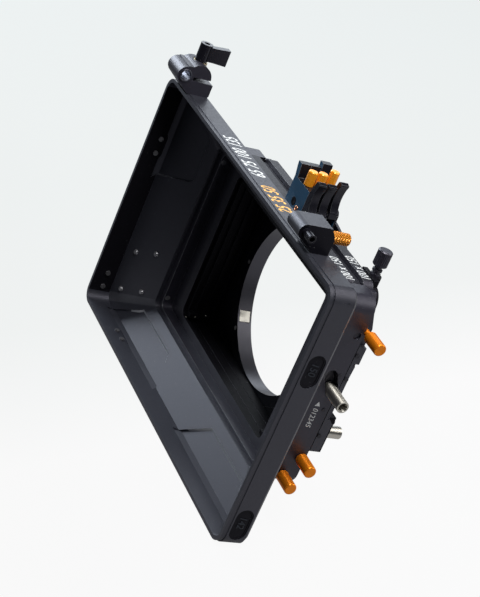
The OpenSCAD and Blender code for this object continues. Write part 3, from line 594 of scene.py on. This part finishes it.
# Directions of print that is read from behind the box, and from its +X side
FROM_BEHIND = ((-1, 0, 0), (0, -1, 0))
DOWN_THE_SIDE = ((0, 0, -1), (0, 1, 0))
UP_THE_SIDE = ((0, 1, 0), (0, 0, 1))


# Numbers along the top band, white at the far end and amber towards the bracket
def band_numbers():
    baseline = hood_low.y / MM + 14.0
    band_top = -hood_low.z / MM
    for name, text, finish, x in (("band_white", "65 75 100 135", "white_ink", 5.0),
                                  ("band_amber", "25 35 50", "amber_ink", 50.5)):
        mesh = numbers(text, size=13.8, weight=0.1, narrow=0.68)
        place_mark(mesh, name, (x, baseline, band_top), *FROM_BEHIND, "root", finish, "black_anodised")


# Numbers on the top bars of the first and third trays
def bar_numbers():
    for k, rise, x in ((1, 2.4, 84.0), (3, 1.7, 78.0)):
        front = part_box(f"filter_tray_{k}")[0].y / MM
        origin = (x, front + 6.3, RIM / MM + rise)
        mesh = numbers("100 x 150", size=9.2, weight=0.04, narrow=0.74)
        place_mark(mesh, f"bar_numbers_{k}", origin, *FROM_BEHIND, f"tray_{k}", "white_ink",
                   node_slot[f"filter_tray_{k}"])


# Arrow and numbers beside the release pin's slot
def side_marks():
    side = housing_high.x / MM
    arrow = flat_shape([(-28.0, -7.9), (-24.4, -7.9), (-26.2, -4.6)])
    place_mark(arrow, "side_arrow", (side, 0, 0), *UP_THE_SIDE, "root", "white_ink", "soft_black")
    mesh = numbers("012345", size=5.2, weight=0.05, narrow=0.9)
    place_mark(mesh, "side_numbers", (side, -27.9, -9.4), *DOWN_THE_SIDE, "root", "white_ink", "soft_black")


# Dim numbers on the two plates of the +X side
def plate_numbers():
    for place, text in (("upper", "150"), ("lower", "142")):
        low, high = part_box(f"flag_plate_right_{place}")
        middle = (low + high) / (2 * MM)
        origin = (high.x / MM, middle.y - 2.3, middle.z + 6.0)
        mesh = numbers(text, size=7.0, weight=0.12, narrow=0.85)
        place_mark(mesh, f"plate_numbers_{place}", origin, *DOWN_THE_SIDE, "root", "dim_ink",
                   "black_anodised")


# Outline of a round head with a hollow drive: shares of its radius and of its rise
HEAD = [(0.0, 0.35), (0.42, 0.35), (0.5, 1.0), (0.78, 0.92), (0.95, 0.55)]
HEAD_SUNK = -0.1
HEAD_SIDES = 24
HEAD_SHARP_FROM = 42


# Screw head turned from that outline, placed in mm
def screw_head(name, place, facing, body, finish, radius, rise):
    profile = [(share, height * rise) for share, height in HEAD] + [(1.0, HEAD_SUNK)]
    bm = bmesh.new()
    rows = []
    for share, z in profile:
        count = HEAD_SIDES if share else 1
        angles = [2 * math.pi * i / HEAD_SIDES for i in range(count)]
        rows.append([bm.verts.new((share * radius * math.cos(a), share * radius * math.sin(a), z))
                     for a in angles])
    for inner, outer in zip(rows, rows[1:]):
        for i in range(HEAD_SIDES):
            j = (i + 1) % HEAD_SIDES
            if len(inner) == 1:
                bm.faces.new((inner[0], outer[i], outer[j]))
            else:
                bm.faces.new((inner[i], outer[i], outer[j], inner[j]))
    mesh = bpy.data.meshes.new(name)
    bm.to_mesh(mesh)
    bm.free()
    turn = Vector(facing).to_track_quat("Z", "Y").to_matrix().to_4x4()
    mesh.transform(Matrix.Translation(Vector(place) * MM) @ turn @ Matrix.Scale(MM, 4))
    mesh.materials.append(mats[finish])
    smooth(mesh, HEAD_SHARP_FROM)
    obj = bpy.data.objects.new(name, mesh)
    scene.collection.objects.link(obj)
    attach(obj, body)


FORWARD = (0, -1, 0)
UPWARD = (0, 0, 1)
TOWARDS_X = (1, 0, 0)

# Three bright studs low at the -X end of the opening: place in mm, where each faces, and its node
STUDS = (((-69.7, -33.8, -55.0), UPWARD, "tray_housing"),
         ((-67.5, -28.5, -52.7), TOWARDS_X, "filter_tray_1"),
         ((-68.0, -20.4, -50.8), UPWARD, "filter_tray_2"))


# Screw on the front tray's catch block, a shallow near black disc beside it as painted shade of a recess,
# and the studs
def small_screws():
    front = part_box("filter_tray_1")[0].y / MM
    screw_head("catch_block_screw", (1.6, front, 72.4), FORWARD, "tray_1", "copper",
               radius=2.1, rise=0.5)
    # Painted shade: a near black disc stands in for the recess's shade
    screw_head("catch_block_shade_disc", (-4.6, front, 74.6), FORWARD, "tray_1", "inner_black",
               radius=3.0, rise=0.12)
    for i, (place, facing, node) in enumerate(STUDS):
        screw_head(f"stud_{i + 1}", place, facing, node_body[node], "stainless",
                   radius=0.75, rise=0.4)


band_numbers()
bar_numbers()
side_marks()
plate_numbers()
small_screws()


# 1 where the background is looked at, straight or through something
def background_rays(tree):
    path = tree.nodes.new("ShaderNodeLightPath")
    return maths(tree, "MAXIMUM", path.outputs["Is Camera Ray"], path.outputs["Is Transmission Ray"])


def world_light():
    world = bpy.data.worlds.new("World")
    scene.world = world
    world.use_nodes = True
    tree = world.node_tree
    tree.nodes.clear()
    out = tree.nodes.new("ShaderNodeOutputWorld")
    seen = tree.nodes.new("ShaderNodeBackground")
    seen.inputs["Color"].default_value = (0.86, 0.88, 0.90, 1)
    seen.inputs["Strength"].default_value = 1.0
    lit = tree.nodes.new("ShaderNodeBackground")
    lit.inputs["Color"].default_value = (0.80, 0.86, 0.94, 1)
    lit.inputs["Strength"].default_value = 0.06
    mix = tree.nodes.new("ShaderNodeMixShader")
    tree.links.new(background_rays(tree), mix.inputs[0])
    tree.links.new(lit.outputs[0], mix.inputs[1])
    tree.links.new(seen.outputs[0], mix.inputs[2])
    tree.links.new(mix.outputs[0], out.inputs[0])


world_light()

# The floor: its size and how far it lies below the box in metres, which way it fades and its
# tones along that way, how much of it is seen unlit, the most of it that reflections show, and
# between which Y they begin to
FLOOR_RADIUS = 14
FLOOR_GAP = 0.0005
FADE = (-0.919, -0.395, 0)
FLOOR_TONES = [(0.0, (1.04, 1.04, 1.04)), (0.13, (0.95, 0.97, 0.965)), (0.3, (0.925, 0.955, 0.95)),
               (0.7, (0.91, 0.95, 0.95))]
FLOOR_SEEN = 0.9
FLOOR_MIRRORED = 0.3
MIRROR_FROM = -0.17
MIRROR_TO = -0.03


# Tones of the floor's background along the way that it fades
def floor_background(tree, place):
    away = tree.nodes.new("ShaderNodeVectorMath")
    away.operation = "DOT_PRODUCT"
    away.inputs[1].default_value = FADE
    tree.links.new(place, away.inputs[0])
    glow = tree.nodes.new("ShaderNodeEmission")
    tree.links.new(ramp(tree, away.outputs["Value"], FLOOR_TONES), glow.inputs[0])
    glow.inputs[1].default_value = 1.0
    return glow.outputs[0]


# Share of the floor's background that reflections show: none in front, FLOOR_MIRRORED behind
def mirrored_share(tree, place):
    split = tree.nodes.new("ShaderNodeSeparateXYZ")
    tree.links.new(place, split.inputs[0])
    behind = tree.nodes.new("ShaderNodeMapRange")
    behind.inputs["From Min"].default_value = MIRROR_FROM
    behind.inputs["From Max"].default_value = MIRROR_TO
    behind.inputs["To Max"].default_value = FLOOR_MIRRORED
    tree.links.new(split.outputs[1], behind.inputs[0])
    return behind.outputs[0]


# Pale floor: lit and shadowed in part, with a background of its own tones over it
def floor_material():
    mat, tree, shader = new_material("floor")
    shader.inputs["Roughness"].default_value = 0.9
    shader.inputs["Specular IOR Level"].default_value = 0.1
    place = place_on(tree)
    share = mirrored_share(tree, place)
    lit_tone = ramp(tree, share, [(0.0, (0.05, 0.05, 0.055)), (0.7, (0.26, 0.26, 0.27))])
    tree.links.new(lit_tone, shader.inputs["Base Color"])
    path = tree.nodes.new("ShaderNodeLightPath")
    seen = maths(tree, "MULTIPLY", background_rays(tree), FLOOR_SEEN)
    mirrored = maths(tree, "MULTIPLY", path.outputs["Is Glossy Ray"], share)
    mix = tree.nodes.new("ShaderNodeMixShader")
    tree.links.new(maths(tree, "MAXIMUM", seen, mirrored), mix.inputs[0])
    tree.links.new(shader.outputs[0], mix.inputs[1])
    tree.links.new(floor_background(tree, place), mix.inputs[2])
    out = next(n for n in tree.nodes if n.type == "OUTPUT_MATERIAL")
    tree.links.new(mix.outputs[0], out.inputs[0])
    return mat


def floor_plane():
    mesh = bpy.data.meshes.new("floor")
    bm = bmesh.new()
    bmesh.ops.create_circle(bm, cap_ends=True, segments=64, radius=FLOOR_RADIUS)
    bm.to_mesh(mesh)
    bm.free()
    mesh.materials.append(floor_material())
    obj = bpy.data.objects.new("floor", mesh)
    obj.location = (0, 0, cad_box[0].z - FLOOR_GAP)
    scene.collection.objects.link(obj)


floor_plane()


# Middle of the box, which the lamps are aimed at
AIMED_AT = Vector((0, -0.04, 0))


# Soft studio lamp: place and size in metres, power in watts
def lamp(name, place, size, power, colour):
    data = bpy.data.lights.new(name, "AREA")
    data.shape = "RECTANGLE"
    data.size, data.size_y = size
    data.energy = power
    data.color = colour
    obj = bpy.data.objects.new(name, data)
    scene.collection.objects.link(obj)
    obj.location = place
    aim = AIMED_AT - obj.location
    obj.rotation_mode = "QUATERNION"
    obj.rotation_quaternion = aim.to_track_quat("-Z", "Y")


lamp("BackLeft", (-1.15, 0.45, 0.50), (0.7, 0.6), 3.0, (0.88, 0.95, 1.0))
lamp("FrontLeft", (-1.38, -0.42, 0.50), (0.8, 0.9), 27, (0.86, 0.94, 1.0))
lamp("Top", (0.1, 0.1, 1.2), (0.7, 0.7), 5, (1.0, 0.99, 0.97))
lamp("High", (0.4, -0.3, 1.15), (0.4, 0.4), 14, (1.0, 0.985, 0.96))
lamp("BackRight", (0.35, 0.75, 0.6), (0.5, 0.5), 3.5, (1.0, 0.98, 0.95))
